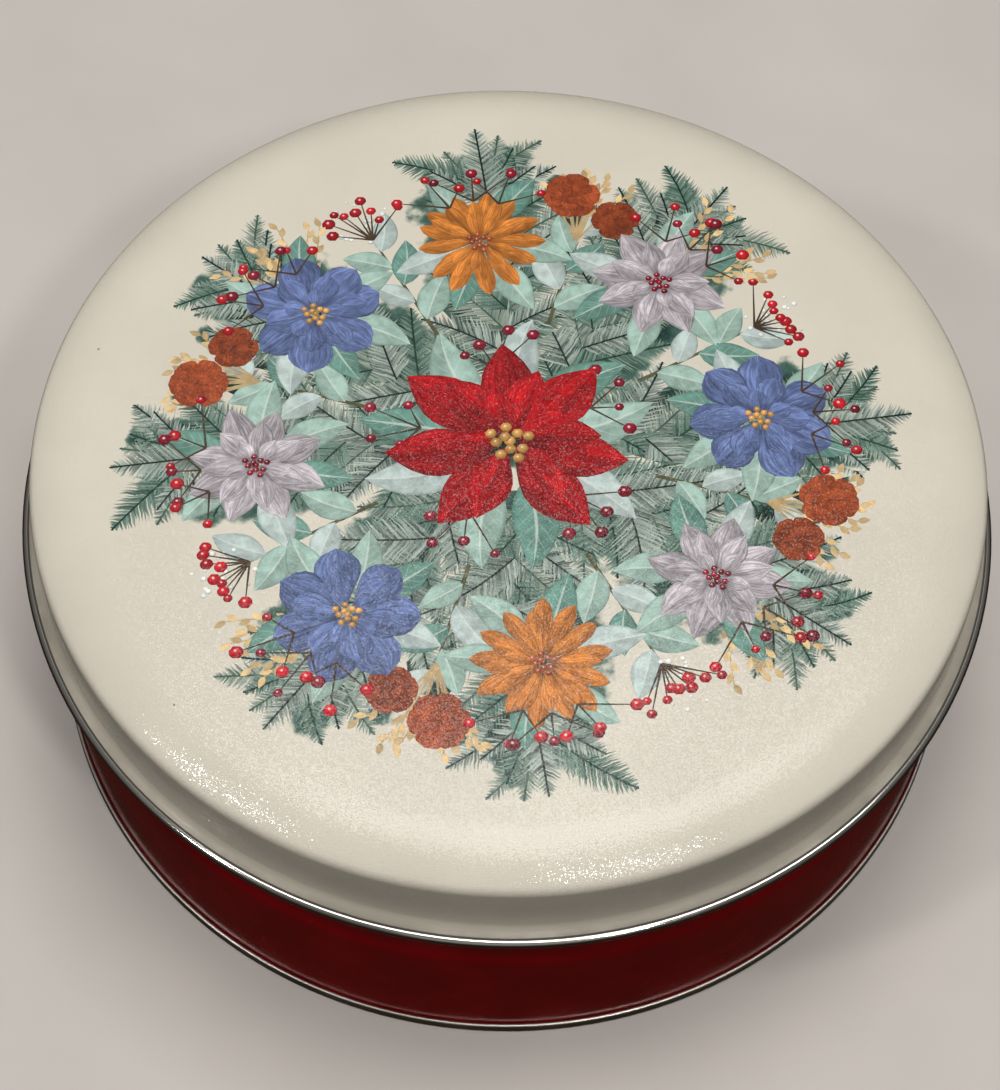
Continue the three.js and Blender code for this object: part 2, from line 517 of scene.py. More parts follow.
def rose(centre, radius, tint):
    """A small full flower: rows of round petals that close in on its heart."""
    turn = between(0, math.pi)
    for count, start, reach in ROSE_ROWS:
        for i in range(count):
            heading = turn + math.tau * i / count + between(-0.12, 0.12)
            foot = beside(centre, radius * start, heading)
            petal_tint = toned(tint, between(0.75, 1.2))
            length = radius * reach
            width = 0.62 * length
            yield from folded("round", foot, heading, length, width, petal_tint, STREAKED, shade=0.86)
        turn += math.pi / count


GRASS_SPREAD = 0.5
GRASS_WIDTH = 0.3
SEEDS = 6
SEED_START = 0.45
SEED_STEP = 0.11
SEED_TURN = 0.45
SEED_LENGTH = 2.9
SEED_WIDTH = 0.75


def grass(foot, heading, count, reach, tint):
    """A tuft of thin stalks with seeds along their outer halves."""
    for i in range(count):
        turned = fanned(heading, GRASS_SPREAD, i, count) + between(-0.05, 0.05)
        bend = between(*LEAF_BENDS)
        length = reach * between(0.75, 1)
        stalk = Stroke("solid", "stem", foot, turned, length, GRASS_WIDTH, bend, toned(tint, 0.75))
        yield stalk
        for j in range(SEEDS):
            along = length * (SEED_START + SEED_STEP * j)
            side = 1 if j % 2 else -1
            shade = toned(tint, between(0.7, 1.3))
            aim = turned + bend * along + SEED_TURN * side
            yield Stroke("solid", "leaf", stalk.at(along, 0), aim, SEED_LENGTH, SEED_WIDTH, tint=shade)


SNOW_RADII = (0.35, 0.75)


def snow(centre, spread, count):
    """Small pale dots scattered about a place."""
    for _ in range(count):
        place = beside(centre, spread * math.sqrt(chance.random()), between(0, math.tau))
        yield from bead(place, between(*SNOW_RADII), FROST)


# Each row of petals: how many, and their length and half width as shares
BLUE_BLOOM = Bloom(15.5, "petal", ((7, 1.0, 0.33), (6, 0.7, 0.33), (5, 0.42, 0.34)), SLATE_BLUE, AMBER)
PALE_BLOOM = Bloom(15.0, "pointed", ((8, 1.0, 0.26), (7, 0.74, 0.27), (5, 0.46, 0.3)), PALE_LILAC, WINE)
GOLD_BLOOM = Bloom(14.5, "petal", ((13, 1.0, 0.15), (12, 0.8, 0.16), (9, 0.55, 0.18)), ORANGE, RUST)
RED_BLOOM = Bloom(26.0, "pointed", ((7, 1.0, 0.24), (6, 0.76, 0.25), (5, 0.5, 0.25)), SCARLET, AMBER)
ARM_BLOOMS = (
    BLUE_BLOOM, PALE_BLOOM, GOLD_BLOOM, BLUE_BLOOM, PALE_BLOOM, BLUE_BLOOM, GOLD_BLOOM, PALE_BLOOM,
)
ARMS = len(ARM_BLOOMS)

# The first arm's turn, and places along an arm from the middle of the lid
ARM_TURN = math.radians(9)
ARM_FOOT = 12
ARM_TIP = 76
CROWN_FOOT = 67
BLOOM_PLACE = 56

# Washes along an arm: where each begins, its turn off the spine, and its length
SIDE_WASHES = ((22, 0.45, 36), (38, 0.55, 34), (54, 0.6, 26))
SPINE_WASHES = ((8, 76), (30, 48), (46, 40))
FROND_STEP = 6
FROND_LAYERS = ("back", "middle", "front")
FROND_LENGTHS = (21, 27)
FROND_TURNS = (0.62, 0.95)
CROWN_LENGTHS = (20, 23)
# Each frond at an arm's tip: its turn off the arm, and its layer
CROWN = (
    (-0.8, "front"), (0.75, "front"), (-0.4, "middle"), (0.42, "back"), (0.02, "front"), (-0.2, "back"),
)
SWAY = 0.12


def arm_greenery(angle, sway):
    """One arm's washes and fronds: pairs that fan out from a swaying spine, and a crown at its tip."""

    def spine(radius):
        share = (radius - ARM_FOOT) / (ARM_TIP - ARM_FOOT)
        return angle + sway * math.sin(math.pi * share)

    for side in (1, -1):
        for radius, turned, length in SIDE_WASHES:
            yield from blot(polar(radius, spine(radius)), spine(radius) + turned * side, length)
    for radius, length in SPINE_WASHES:
        yield from blot(polar(radius, spine(radius)), spine(radius), length)
    for i, radius in enumerate(range(ARM_FOOT + FROND_STEP, ARM_TIP, FROND_STEP)):
        for side in (1, -1):
            layer = FROND_LAYERS[(i + (side > 0)) % 3]
            heading = spine(radius) + side * between(*FROND_TURNS)
            length = between(*FROND_LENGTHS) - 0.05 * radius
            bend = side * between(0.002, 0.02)
            yield from frond(layer, polar(radius, spine(radius)), heading, length, bend)
    foot = polar(CROWN_FOOT, spine(CROWN_FOOT))
    for turned, layer in CROWN:
        length = between(*CROWN_LENGTHS) - 6 * abs(turned)
        yield from frond(layer, foot, angle + turned, length, 0.015 * turned)


# What grows about an arm's bloom, and how far from its middle
TUFT_START = 3
LEAF_START = 7
LEAF_LENGTHS = (13.5, 16.5)
SPRAY_START = 12
TUFT_TURN = -0.55
TUFT_REACH = 25
ARM_LEAVES = ((0.5, MINT), (-0.55, SEA), (1.9, ICE), (-1.75, MINT), (2.75, SEA), (-2.7, MINT))


def arm_flowers(angle, kind, tuft):
    """What lies over one arm: leaves round its bloom, a tuft on one side, and the bloom itself."""
    centre = polar(BLOOM_PLACE, angle)
    if tuft:
        yield from grass(beside(centre, TUFT_START, angle), angle + TUFT_TURN, 7, TUFT_REACH, STRAW)
    for turned, tint in ARM_LEAVES:
        heading = angle + turned + between(-0.12, 0.12)
        foot = beside(centre, LEAF_START, heading)
        yield from leaf(foot, heading, between(*LEAF_LENGTHS), tint)
    yield from bloom(kind, centre, angle)
    for i in range(3):
        heading = angle + 0.5 * (i - 1)
        yield from berries(beside(centre, SPRAY_START, heading), heading, 3, (CRIMSON, WINE)[i % 2])


# What lies between two arms, at distances from the middle of the lid
SPRIG_FOOT = 33
SPRIG_LENGTH = 34
SPRIG_WIDTH = 0.5
SPRIG_LEAF_FOOT = 38
SPRIG_LEAF_STEP = 5.5
SPRIG_LEAF_LENGTHS = (11, 14)
SNOW_PLACE = 70
SNOW_SPREAD = 7
GAP_SPRAY_PLACE = 64
GAP_TUFT_PLACE = 58
GAP_TUFT_REACH = 22
# Each rose's distance, turn off the gap's middle, radius and tint
ROSES = ((71, 0.06, 6.8, RUST), (67, -0.11, 5.8, toned(RUST, 0.75)))


def gap_sprig(angle, berried):
    """Between two arms: a leafy sprig, and beyond it berries with pale dots, or grass and roses."""
    yield from stem(polar(SPRIG_FOOT, angle), angle, SPRIG_LENGTH, SPRIG_WIDTH, SPRIG_OLIVE)
    for i in range(5):
        side = 1 if i % 2 else -1
        foot = polar(SPRIG_LEAF_FOOT + SPRIG_LEAF_STEP * i, angle)
        tint = (MINT, ICE, SEA)[i % 3]
        yield from leaf(foot, angle + 0.7 * side, between(*SPRIG_LEAF_LENGTHS), tint, 0.27)
    if berried:
        yield from snow(polar(SNOW_PLACE, angle), SNOW_SPREAD, 16)
        yield from berries(polar(GAP_SPRAY_PLACE, angle), angle, 9, CRIMSON)
    else:
        yield from grass(polar(GAP_TUFT_PLACE, angle), angle + 0.1, 9, GAP_TUFT_REACH, STRAW)
        for distance, turned, radius, tint in ROSES:
            yield from rose(polar(distance, angle + turned), radius, tint)


CENTRE_WASH = 52
CENTRE_LEAF_FOOT = 10
CENTRE_LEAF_LENGTH = 24
CENTRE_SPRAY_PLACE = 20


def centre_piece():
    """Leaves and berries all round, and the large red bloom over them."""
    for i in range(9):
        heading = math.tau * i / 9 + 0.2
        tint = (MINT, SEA, ICE)[i % 3]
        yield from leaf(polar(CENTRE_LEAF_FOOT, heading), heading, CENTRE_LEAF_LENGTH, tint, 0.22)
    for i in range(5):
        heading = math.tau * i / 5 + 0.5
        yield from berries(polar(CENTRE_SPRAY_PLACE, heading), heading, 4, WINE)
    yield from bloom(RED_BLOOM, (0, 0), 0.3)


def drawing():
    """Every stroke of the print, the lowest first."""
    angles = [ARM_TURN + math.tau * i / ARMS for i in range(ARMS)]
    half_gap = math.pi / ARMS
    for i, angle in enumerate(angles):
        yield from arm_greenery(angle, SWAY if i % 2 else -SWAY)
    yield from blot((-CENTRE_WASH / 2, 0), 0, CENTRE_WASH)
    for i, angle in enumerate(angles):
        yield from gap_sprig(angle + half_gap, i % 2 == 0)
    for i, angle in enumerate(angles):
        yield from arm_flowers(angle, ARM_BLOOMS[i], i % 2)
    yield from centre_piece()


def each(strokes, field):
    return np.array([getattr(stroke, field) for stroke in strokes])


def local_places(strokes, points):
    """How far along and across its own stroke each point lies."""
    foot = each(strokes, "foot")
    heading = each(strokes, "heading")
    bend = each(strokes, "bend")
    centre = foot + np.stack([-np.sin(heading), np.cos(heading)], 1) / bend[:, None]
    start, away = foot - centre, points - centre
    crossed = start[:, 0] * away[:, 1] - start[:, 1] * away[:, 0]
    along = np.arctan2(crossed, (start * away).sum(1)) / bend
    across = 1 / bend - np.sign(bend) * np.hypot(*away.T)
    return along, across


def solid_places(strokes, points):
    """Shares along and across each solid shape, foot to tip and edge to edge, and its seed."""
    along, across = local_places(strokes, points)
    share = np.clip(along / each(strokes, "length"), 0, 1)
    half_width = each(strokes, "width")
    for form in ("leaf", "petal", "round", "pointed"):
        here = each(strokes, "form") == form
        half_width[here] *= np.maximum(FORMS[form][0](share[here]), 1e-3)
    return np.stack([share, np.clip(across / half_width, -1, 1), each(strokes, "seed")], 1)


def printed_panel(rim):
    """The lid's flat panel as one flush mesh, cut along every outline, with what is printed there."""
    strokes = list(drawing())
    inward = 1 - PANEL_GUARD / PANEL_RADIUS
    guard = [(x * inward, y * inward) for x, y in rim]
    outlines = [stroke.outline() for stroke in strokes]
    scale = PRINT_RADIUS / max(math.hypot(*place) for ring in outlines for place in ring)
    rings = [rim, guard, *([(x * scale, y * scale) for x, y in ring] for ring in outlines)]
    outset = len(rings) - len(strokes)
    starts = np.cumsum([0] + [len(ring) for ring in rings])
    faces = [list(range(start, start + len(ring))) for start, ring in zip(starts, rings)]
    given = [Vector(place) for ring in rings for place in ring]
    corners, _, triangles, _, _, sources = delaunay_2d_cdt(given, [], faces, INSIDE, CUT_TOLERANCE, True)

    mesh = bpy.data.meshes.new("panel")
    mesh.from_pydata([(x * MM, y * MM, HEIGHT) for x, y in corners], [], triangles)
    places = np.array(corners)[np.array(triangles).ravel()] / scale

    def topmost(layer):
        """Which corners a layer covers, and the last of its strokes at each of those."""
        tops = []
        for covers in sources:
            found = [i - outset for i in covers if i >= outset and strokes[i - outset].layer == layer]
            tops.append(max(found, default=-1))
        tops = np.repeat(tops, 3)
        covered = tops >= 0
        return covered, [strokes[i] for i in tops[covered]]

    def write(name, covered, values, kind="FLOAT_VECTOR", field="vector", width=3):
        """Three values at each corner that is covered, and nought at the others."""
        full = np.zeros((len(covered), width), dtype=np.float32)
        full[covered, :3] = values
        mesh.attributes.new(name, kind, "CORNER").data.foreach_set(field, full.ravel())

    for layer in FINE_LAYERS:
        covered, chosen = topmost(layer)
        along, across = local_places(chosen, places[covered])
        marks = each(chosen, "length") + each(chosen, "seed")
        write(layer, covered, np.stack([along, across, marks], 1))

    covered, chosen = topmost("solid")
    write("solid", covered, solid_places(chosen, places[covered]))
    write("style", covered, each(chosen, "style"))
    write("tint", covered, each(chosen, "tint"), "FLOAT_COLOR", "color", 4)

    run = mesh.attributes.new("run", "FLOAT", "POINT")
    run.data.foreach_set("value", np.hypot(*np.array(corners).T).astype(np.float32) * MM)
    mesh.shade_smooth()
    return mesh


def printed_lid(materials):
    """The lid, with its flat panel exchanged for the printed one that meets it corner for corner."""
    lid = spun_sheet("tin_lid", lid_middle(), materials)
    bm = bmesh.new()
    bm.from_mesh(lid.data)
    level = HEIGHT - FLAT_TOLERANCE
    flat = [face for face in bm.faces if all(corner.co.z > level for corner in face.verts)]
    bmesh.ops.delete(bm, geom=flat, context="FACES")
    ring = {corner for edge in bm.edges if edge.is_boundary for corner in edge.verts}
    ring = sorted(ring, key=lambda corner: math.atan2(corner.co.y, corner.co.x))
    panel = printed_panel([(corner.co.x / MM, corner.co.y / MM) for corner in ring])
    bm.from_mesh(panel)
    bmesh.ops.remove_doubles(bm, verts=bm.verts, dist=MERGE_REACH)
    bm.to_mesh(lid.data)
    bm.free()
    bpy.data.meshes.remove(panel)
    return lid


def operator(operation):
    """A method that adds a Math node of one kind."""
    return lambda *values: calc(operation, *values)


class Value:
    """A node's output. Arithmetic with it adds Math nodes to its tree."""

    def __init__(self, socket):
        self.socket = socket
        self.tree = socket.id_data

    def __rsub__(self, other):
        return calc("SUBTRACT", other, self)

    __add__ = operator("ADD")
    __sub__ = operator("SUBTRACT")
    __mul__ = operator("MULTIPLY")
    __truediv__ = operator("DIVIDE")
    __lt__ = operator("LESS_THAN")
    __gt__ = operator("GREATER_THAN")
    __abs__ = operator("ABSOLUTE")


def tree_of(values):
    """The tree of the first value that comes from a node."""
    return next(value.tree for value in values if isinstance(value, Value))


def outputs(node):
    return {socket.name: Value(socket) for socket in node.outputs}


def wire(socket, value):
    """Link a node's output to a socket, or give the socket a plain value."""
    if isinstance(value, Value):
        value.tree.links.new(value.socket, socket)
    else:
        socket.default_value = value


def put(tree, kind, inputs=None, **settings):
    """Add a shader node with its settings and inputs, and give back its outputs by name."""
    node = tree.nodes.new("ShaderNode" + kind)
    for name, value in settings.items():
        setattr(node, name, value)
    for name, value in (inputs or {}).items():
        wire(node.inputs[name], value)
    return outputs(node)


def calc(operation, *values, clamped=False):
    node = tree_of(values).nodes.new("ShaderNodeMath")
    node.operation = operation
    node.use_clamp = clamped
    for socket, value in zip(node.inputs, values):
        wire(socket, value)
    return Value(node.outputs[0])


def mix(share, first, second, mode="MIX"):
    """A colour between two, or one laid on the other."""
    node = tree_of((share, first, second)).nodes.new("ShaderNodeMix")
    node.data_type = "RGBA"
    node.blend_type = mode
    for index, value in ((0, share), (6, first), (7, second)):
        wire(node.inputs[index], (*value, 1) if isinstance(value, tuple) else value)
    return Value(node.outputs[2])


def ease(value, low, high, start=0.0, stop=1.0):
    """A value taken smoothly from one range to another."""
    inputs = {"Value": value, "From Min": low, "From Max": high, "To Min": start, "To Max": stop}
    return put(value.tree, "MapRange", inputs, interpolation_type="SMOOTHSTEP")["Result"]


def fade(value, low, high):
    """One up to the low end, then smoothly down to nought at the high end."""
    return ease(value, low, high, 1.0, 0.0)


def varied(value, start, stop):
    """A noise, which lies mostly between 0.3 and 0.7, taken to another range."""
    return ease(value, 0.3, 0.7, start, stop)


def object_place(tree):
    """Where a point lies in the object's own space."""
    return put(tree, "TexCoord")["Object"]


def parts(vector):
    split = put(vector.tree, "SeparateXYZ", {"Vector": vector})
    return [split[axis] for axis in "XYZ"]


def grain(place, detail, scale=1.0):
    """Noise that reads a place of its own."""
    return put(place.tree, "TexNoise", {"Vector": place, "Scale": scale, "Detail": detail})["Fac"]


def noise(tree, size, detail=2.0):
    """Even noise with features of a real size, in the object's own space."""
    return grain(object_place(tree), detail, 1 / size)


def mapped(tree, **inputs):
    """The object's own space, turned or stretched."""
    return put(tree, "Mapping", {"Vector": object_place(tree), **inputs})["Vector"]


def attribute(tree, name):
    return put(tree, "Attribute", attribute_name=name)


def bump(shader, height, depth, strength=1.0):
    """Let a height shape the surface, where a height of 1 stands for a real depth."""
    inputs = {"Height": height, "Distance": depth, "Strength": strength}
    wire(shader.inputs["Normal"], put(height.tree, "Bump", inputs)["Normal"])


def effect(name, inputs, results):
    """An empty node group, what it is given, and the sockets of its results."""
    group = bpy.data.node_groups.new(name, "ShaderNodeTree")
    for side, sockets in (("INPUT", inputs), ("OUTPUT", results)):
        for label, kind in sockets.items():
            group.interface.new_socket(label, in_out=side, socket_type="NodeSocket" + kind)
    given = outputs(group.nodes.new("NodeGroupInput"))
    return group, given, group.nodes.new("NodeGroupOutput").inputs


def place_effect(tree, group, **inputs):
    return put(tree, "Group", inputs, node_tree=group)


# Needles, in millimetres of the drawing or as shares of their pitch
NEEDLE_PITCHES = (1.25, 0.85)
NEEDLE_WAVER = 1.1
NEEDLE_WAVER_SIZE = 2.5 * MM
NEEDLE_THICKNESS = 0.35
NEEDLE_EDGE = 0.07
TWIG_HALF_WIDTH = 0.22


def needles_effect():
    """Needles that slant forward from both sides of a frond's spine, each with a length and a tone."""
    group, given, result = effect(
        "needles", {"Place": "Vector", "Pitch": "Float"}, {"Mask": "Float", "Tone": "Float"}
    )
    spine, sideways, mark = parts(given["Place"])
    length = calc("FLOOR", mark)
    seed = calc("FRACT", mark)
    along = spine + (noise(group, NEEDLE_WAVER_SIZE) - 0.5) * NEEDLE_WAVER
    across = abs(sideways)
    side = calc("SIGN", sideways)
    foot = along - across * NEEDLE_SLANT
    counted = foot / given["Pitch"] + side * 0.25
    key = calc("FLOOR", counted) + (seed * 913.0 + side * 57.3)
    roll = put(group, "TexWhiteNoise", {"W": key}, noise_dimensions="1D")
    picked = put(group, "SeparateColor", {"Color": roll["Color"]})
    share = foot / length
    taper = calc("SUBTRACT", 1.0, share * share, clamped=True)
    reach = length * FROND_SHARE * calc("POWER", taper, 0.8)
    own_reach = reach * ease(picked["Red"], 0.0, 1.0, 0.62, 1.12)
    out = across / calc("MAXIMUM", own_reach, 0.05)
    middle = abs(calc("FRACT", counted) - 0.5)
    thick = (1.0 - calc("POWER", out, 2.5)) * NEEDLE_THICKNESS
    needle = ease(thick - middle, -NEEDLE_EDGE, NEEDLE_EDGE) * ((out < 1.0) * (share > 0.0))
    twig = (across < TWIG_HALF_WIDTH) * (spine > 0.0)
    wire(result["Mask"], calc("MAXIMUM", needle, twig) * (length > 0.5))
    wire(result["Tone"], (picked["Green"] * 0.75 + out * 0.3) * (1.0 - twig))
    return group


# For each layer of fronds, its darkest and lightest green
GREENS = {
    "back": (paint(0x3E5C4E), paint(0xB0BCAE)),
    "middle": (paint(0x173A2E), paint(0x86A596)),
    "front": (paint(0x0E2A22), paint(0xC2D2C6)),
}


def fronds(effects, ground):
    """The three layers of fronds, each with coarse needles and finer ones over them."""
    coarse, fine = NEEDLE_PITCHES
    for layer, (dark, light) in GREENS.items():
        where = attribute(ground.tree, layer)["Vector"]
        for pitch, darkest in ((coarse, toned(dark, 0.8)), (fine, dark)):
            drawn = place_effect(ground.tree, effects["needles"], Place=where, Pitch=pitch)
            ground = mix(drawn["Mask"], ground, mix(drawn["Tone"], darkest, light))
    return ground


WASH_CLOUD_SIZE = 5 * MM
# The tones of a wash, from its thin edge to its deepest place
WASH_TONES = ((0.0, 0xC3C8B8), (0.22, 0x8CA090), (0.42, 0x44645A), (0.64, 0x1E3E34), (1.0, 0x10281F))


def washed(ground):
    """Soft sage and deep green washes under the fronds."""
    tree = ground.tree
    spine, sideways, mark = parts(attribute(tree, "wash")["Vector"])
    length = calc("FLOOR", mark)
    edge = abs(sideways) / (length * FROND_SHARE)
    along = spine / length
    ends = calc("SQRT", along * (1.0 - along) * 4.0)
    body = calc("SUBTRACT", 1.0, edge, clamped=True) * ends
    deep = body + (noise(tree, WASH_CLOUD_SIZE, 4.0) - 0.5) * 0.6
    tones = put(tree, "ValToRGB", {"Fac": ease(deep, 0.0, 1.0)})["Color"]
    stops = tones.socket.node.color_ramp.elements
    for place, _ in WASH_TONES[1:-1]:
        stops.new(place)
    for stop, (_, code) in zip(stops, WASH_TONES):
        stop.color = (*paint(code), 1)
    return mix(ease(deep, 0.3, 0.42) * (length > 0.5), ground, tones)


PAINT_GRAIN_SIZE = 3 * MM
VEINS = 7.0
VEIN_SLANT = 1.6
VEIN_TINT = paint(0xE4ECE4)
GLINT_TINT = paint(0xF6EDE6)


def solids(ground):
    """Leaves with veins, streaked petals and shaded beads, over whatever lies below."""
    tree = ground.tree
    along, across, seed = parts(attribute(tree, "solid")["Vector"])
    veined, streaked, beaded = parts(attribute(tree, "style")["Vector"])
    out = abs(across)

    rib = fade(out, 0.03, 0.1)
    fan = abs(calc("FRACT", along * VEINS - out * VEIN_SLANT) - 0.5)
    fine = fade(fan, 0.0, 0.09) * ease(out, 0.55, 1.0, 0.45, 0.0)
    veins = calc("MAXIMUM", rib, fine) * veined

    drawn_out = put(tree, "CombineXYZ", {"X": across * 4.0, "Y": along * 1.3, "Z": seed * 40.0})
    streaks = ease(grain(drawn_out["Vector"], 3.0, 2.2), 0.35, 0.68, 0.62, 1.18)
    petal = streaks * ease(along, 0.0, 0.55, 0.5, 1.0)

    high = along * 2.0 - 1.3
    far = calc("SQRT", high * high + across * across)
    ball = ease(far, 0.15, 1.3, 1.25, 0.5)
    glint = ease(far, 0.12, 0.26, 0.75, 0.0) * beaded

    rim = ease(out, 0.8, 1.0, 1.0, 0.72)
    wet = varied(noise(tree, PAINT_GRAIN_SIZE, 3.0), 0.8, 1.16)
    shade = mix(beaded, mix(streaked, (1, 1, 1), petal), ball)
    shade = mix(1.0, shade, wet * rim, "MULTIPLY")
    colour = mix(1.0, attribute(tree, "tint")["Color"], shade, "MULTIPLY")
    colour = mix(veins * 0.55, colour, VEIN_TINT)
    colour = mix(glint, colour, GLINT_TINT)
    return mix(seed > 0.0, ground, colour)


# The finishes' colours
IVORY = paint(0xE1DACA)
# Darkens the lid's flare: partly grime, partly painted shade
GRIME_AND_SHADE = paint(0x6E6558)
# A painted shadow line in the lid's crease, partly dirt
CREASE_SHADE_AND_DIRT = (0.055, 0.048, 0.04)
SPECK_TINT = paint(0x4A4038)
PALE_SCRATCH = paint(0xF2EEE2)
CRIMSON_LACQUER = (0.27, 0.004, 0.007)
LACQUER_SCRATCH = (0.5, 0.12, 0.1)
GROOVE_TINT = (0.03, 0.01, 0.01)
TIN_METAL = (0.63, 0.6, 0.54)

# Where the lid's grime with painted shade, its crease with a painted shadow line, and its coat end lie,
# along its middle line from the axis
GRIME_AND_SHADE_START = 127 * MM
CREASE_RUN = 131.1 * MM
LID_COAT_END = 131.2 * MM

# The height at which the wall's coat ends, and how uneven a coat's end is
WALL_COAT_END = 73 * MM
COAT_EDGE = 0.1 * MM
COAT_WAVER = 1.1 * MM
COAT_WAVER_SIZE = 4 * MM

# Real sizes of what the finishes show, and the slope of the stipple's grains
STIPPLE_SIZE = 0.27 * MM
STIPPLE_SLOPE = 0.18
SCRATCH_WIDTH = 0.35 * MM
SCRATCH_LENGTH = 22 * MM
SCRATCH_BREAKS = 9 * MM
SMUDGE_SIZE = 16 * MM
CLOUD_SIZE = 30 * MM
SPECK_SPACING = 17 * MM
SPECK_SHARES = (0.012, 0.024)
CREASE_SHAPE = (0.15 * MM, 0.4 * MM)
GROOVE_SHAPE = (0.08 * MM, 0.3 * MM)
GROOVE_DEPTH = 0.1 * MM
PEEL_SIZE = 2.5 * MM
ROLLING_LENGTH = 60 * MM
ROLLING_WIDTH = 0.5 * MM
ROLLING_DEPTH = 0.004 * MM


def blank(name):
    """A new material with its tree and its main shader."""
    material = bpy.data.materials.new(name)
    material.use_nodes = True
    return material, material.node_tree, material.node_tree.nodes["Principled BSDF"]


def dress(shader, colour, metallic, roughness):
    for name, value in (("Base Color", colour), ("Metallic", metallic), ("Roughness", roughness)):
        wire(shader.inputs[name], value)


def scuffs_effect():
    """Hairline scratches that run two ways, and broad soft smudges."""
    group, given, result = effect("scuffs", {"Count": "Float"}, {"Scratch": "Float", "Smudge": "Float"})
    low = 0.86 - given["Count"] * 0.2
    lines = []
    for turn in ((0.2, 0.4, 0.6), (0.5, -0.3, 2.1)):
        place = put(group, "Mapping", {
            "Vector": object_place(group),
            "Rotation": turn,
            "Scale": (SCRATCH_WIDTH, SCRATCH_LENGTH, SCRATCH_LENGTH),
        }, vector_type="TEXTURE")["Vector"]
        lines.append(ease(grain(place, 1.0), low, low + 0.05))
    broken = ease(noise(group, SCRATCH_BREAKS), 0.5, 0.62)
    wire(result["Scratch"], calc("MAXIMUM", *lines) * broken)
    wire(result["Smudge"], noise(group, SMUDGE_SIZE, 4.0))
    return group


def coat_end_effect():
    """Where a coat stops short of bare metal, along a slightly uneven line."""
    group, given, result = effect("coat_end", {"Place": "Float", "End": "Float"}, {"Bare": "Float"})
    waver = (noise(group, COAT_WAVER_SIZE, 4.0) - 0.5) * COAT_WAVER
    past = given["Place"] + waver - given["End"]
    wire(result["Bare"], ease(past, -COAT_EDGE, COAT_EDGE))
    return group


def stipple_effect():
    """Fine grains, each a small flat face with its own slope, which catch the light one by one."""
    group, _, result = effect("stipple", {}, {"Height": "Float"})

    def vectors(operation, inputs):
        return put(group, "VectorMath", inputs, operation=operation)

    scaled = vectors("SCALE", {0: object_place(group), "Scale": 1 / STIPPLE_SIZE})["Vector"]
    cells = put(group, "TexVoronoi", {"Vector": scaled, "Scale": 1.0})
    off = vectors("SUBTRACT", {0: scaled, 1: cells["Position"]})["Vector"]
    slope = vectors("SUBTRACT", {0: cells["Color"], 1: (0.5, 0.5, 0.5)})["Vector"]
    wire(result["Height"], vectors("DOT_PRODUCT", {0: off, 1: slope})["Value"])
    return group


def scuffed(tree, effects, count):
    marks = place_effect(tree, effects["scuffs"], Count=count)
    return marks["Scratch"], marks["Smudge"]


def printed_enamel(effects):
    """The lid's satin ivory enamel with its print and a fine stipple, grime and painted shade in its
    flare, a painted shadow line in its crease, and the bare metal of its roll.
    """
    material, tree, shader = blank("printed_enamel")
    scratch, smudge = scuffed(tree, effects, 0.35)
    cloud = varied(noise(tree, CLOUD_SIZE, 3.0), 0.96, 1.02)
    colour = solids(fronds(effects, washed(mix(1.0, IVORY, cloud, "MULTIPLY"))))
    specks = put(tree, "TexVoronoi", {"Vector": object_place(tree), "Scale": 1 / SPECK_SPACING})
    colour = mix(ease(specks["Distance"], *SPECK_SHARES, 0.7, 0.0), colour, SPECK_TINT)
    colour = mix(scratch * 0.25, colour, PALE_SCRATCH)
    run = attribute(tree, "run")["Fac"]
    # Grime near the coat's end, partly dirt and partly painted shade that darkens the flare; it also
    # roughens the coat there
    grime_and_shade = ease(run, GRIME_AND_SHADE_START, LID_COAT_END) * ease(smudge, 0.3, 0.6, 0.4, 0.7)
    colour = mix(grime_and_shade, colour, GRIME_AND_SHADE)
    bare = place_effect(tree, effects["coat_end"], Place=run, End=LID_COAT_END)["Bare"]
    # A thin near-black painted shadow line along the crease, partly dirt, which is not metal
    crease_shade_and_dirt = fade(abs(run - CREASE_RUN), *CREASE_SHAPE)
    colour = mix(crease_shade_and_dirt, mix(bare, colour, TIN_METAL), CREASE_SHADE_AND_DIRT)
    metal = bare * (1.0 - crease_shade_and_dirt)
    satin = varied(smudge, 0.11, 0.16) + scratch * 0.25
    dress(shader, colour, metal, satin + grime_and_shade * (0.6 - metal * 0.62))
    shader.inputs["Specular IOR Level"].default_value = 0.45
    facets = place_effect(tree, effects["stipple"])["Height"]
    bump(shader, facets * (1.0 - bare), STIPPLE_SLOPE * STIPPLE_SIZE)
    return material


def red_lacquer(effects):
    """The wall's deep red gloss lacquer, which stops short of the mouth."""
    material, tree, shader = blank("red_lacquer")
    scratch, smudge = scuffed(tree, effects, 0.5)
    colour = mix(1.0, CRIMSON_LACQUER, varied(smudge, 0.85, 1.1), "MULTIPLY")
    colour = mix(scratch * 0.3, colour, LACQUER_SCRATCH)
    outward, sideways, height = parts(mapped(tree, Rotation=(0, 0, -LOCK_SEAM_TURN)))
    off_seam = abs(sideways + LOCK_SEAM_WIDTH / 2)
    groove = fade(off_seam, *GROOVE_SHAPE) * (outward > 0.0)
    colour = mix(groove * 0.7, colour, GROOVE_TINT)
    bare = place_effect(tree, effects["coat_end"], Place=height, End=WALL_COAT_END)["Bare"]
    dress(shader, mix(bare, colour, TIN_METAL), bare, varied(smudge, 0.13, 0.22))
    bump(shader, noise(tree, PEEL_SIZE) * 0.1 - groove, GROOVE_DEPTH)
    return material


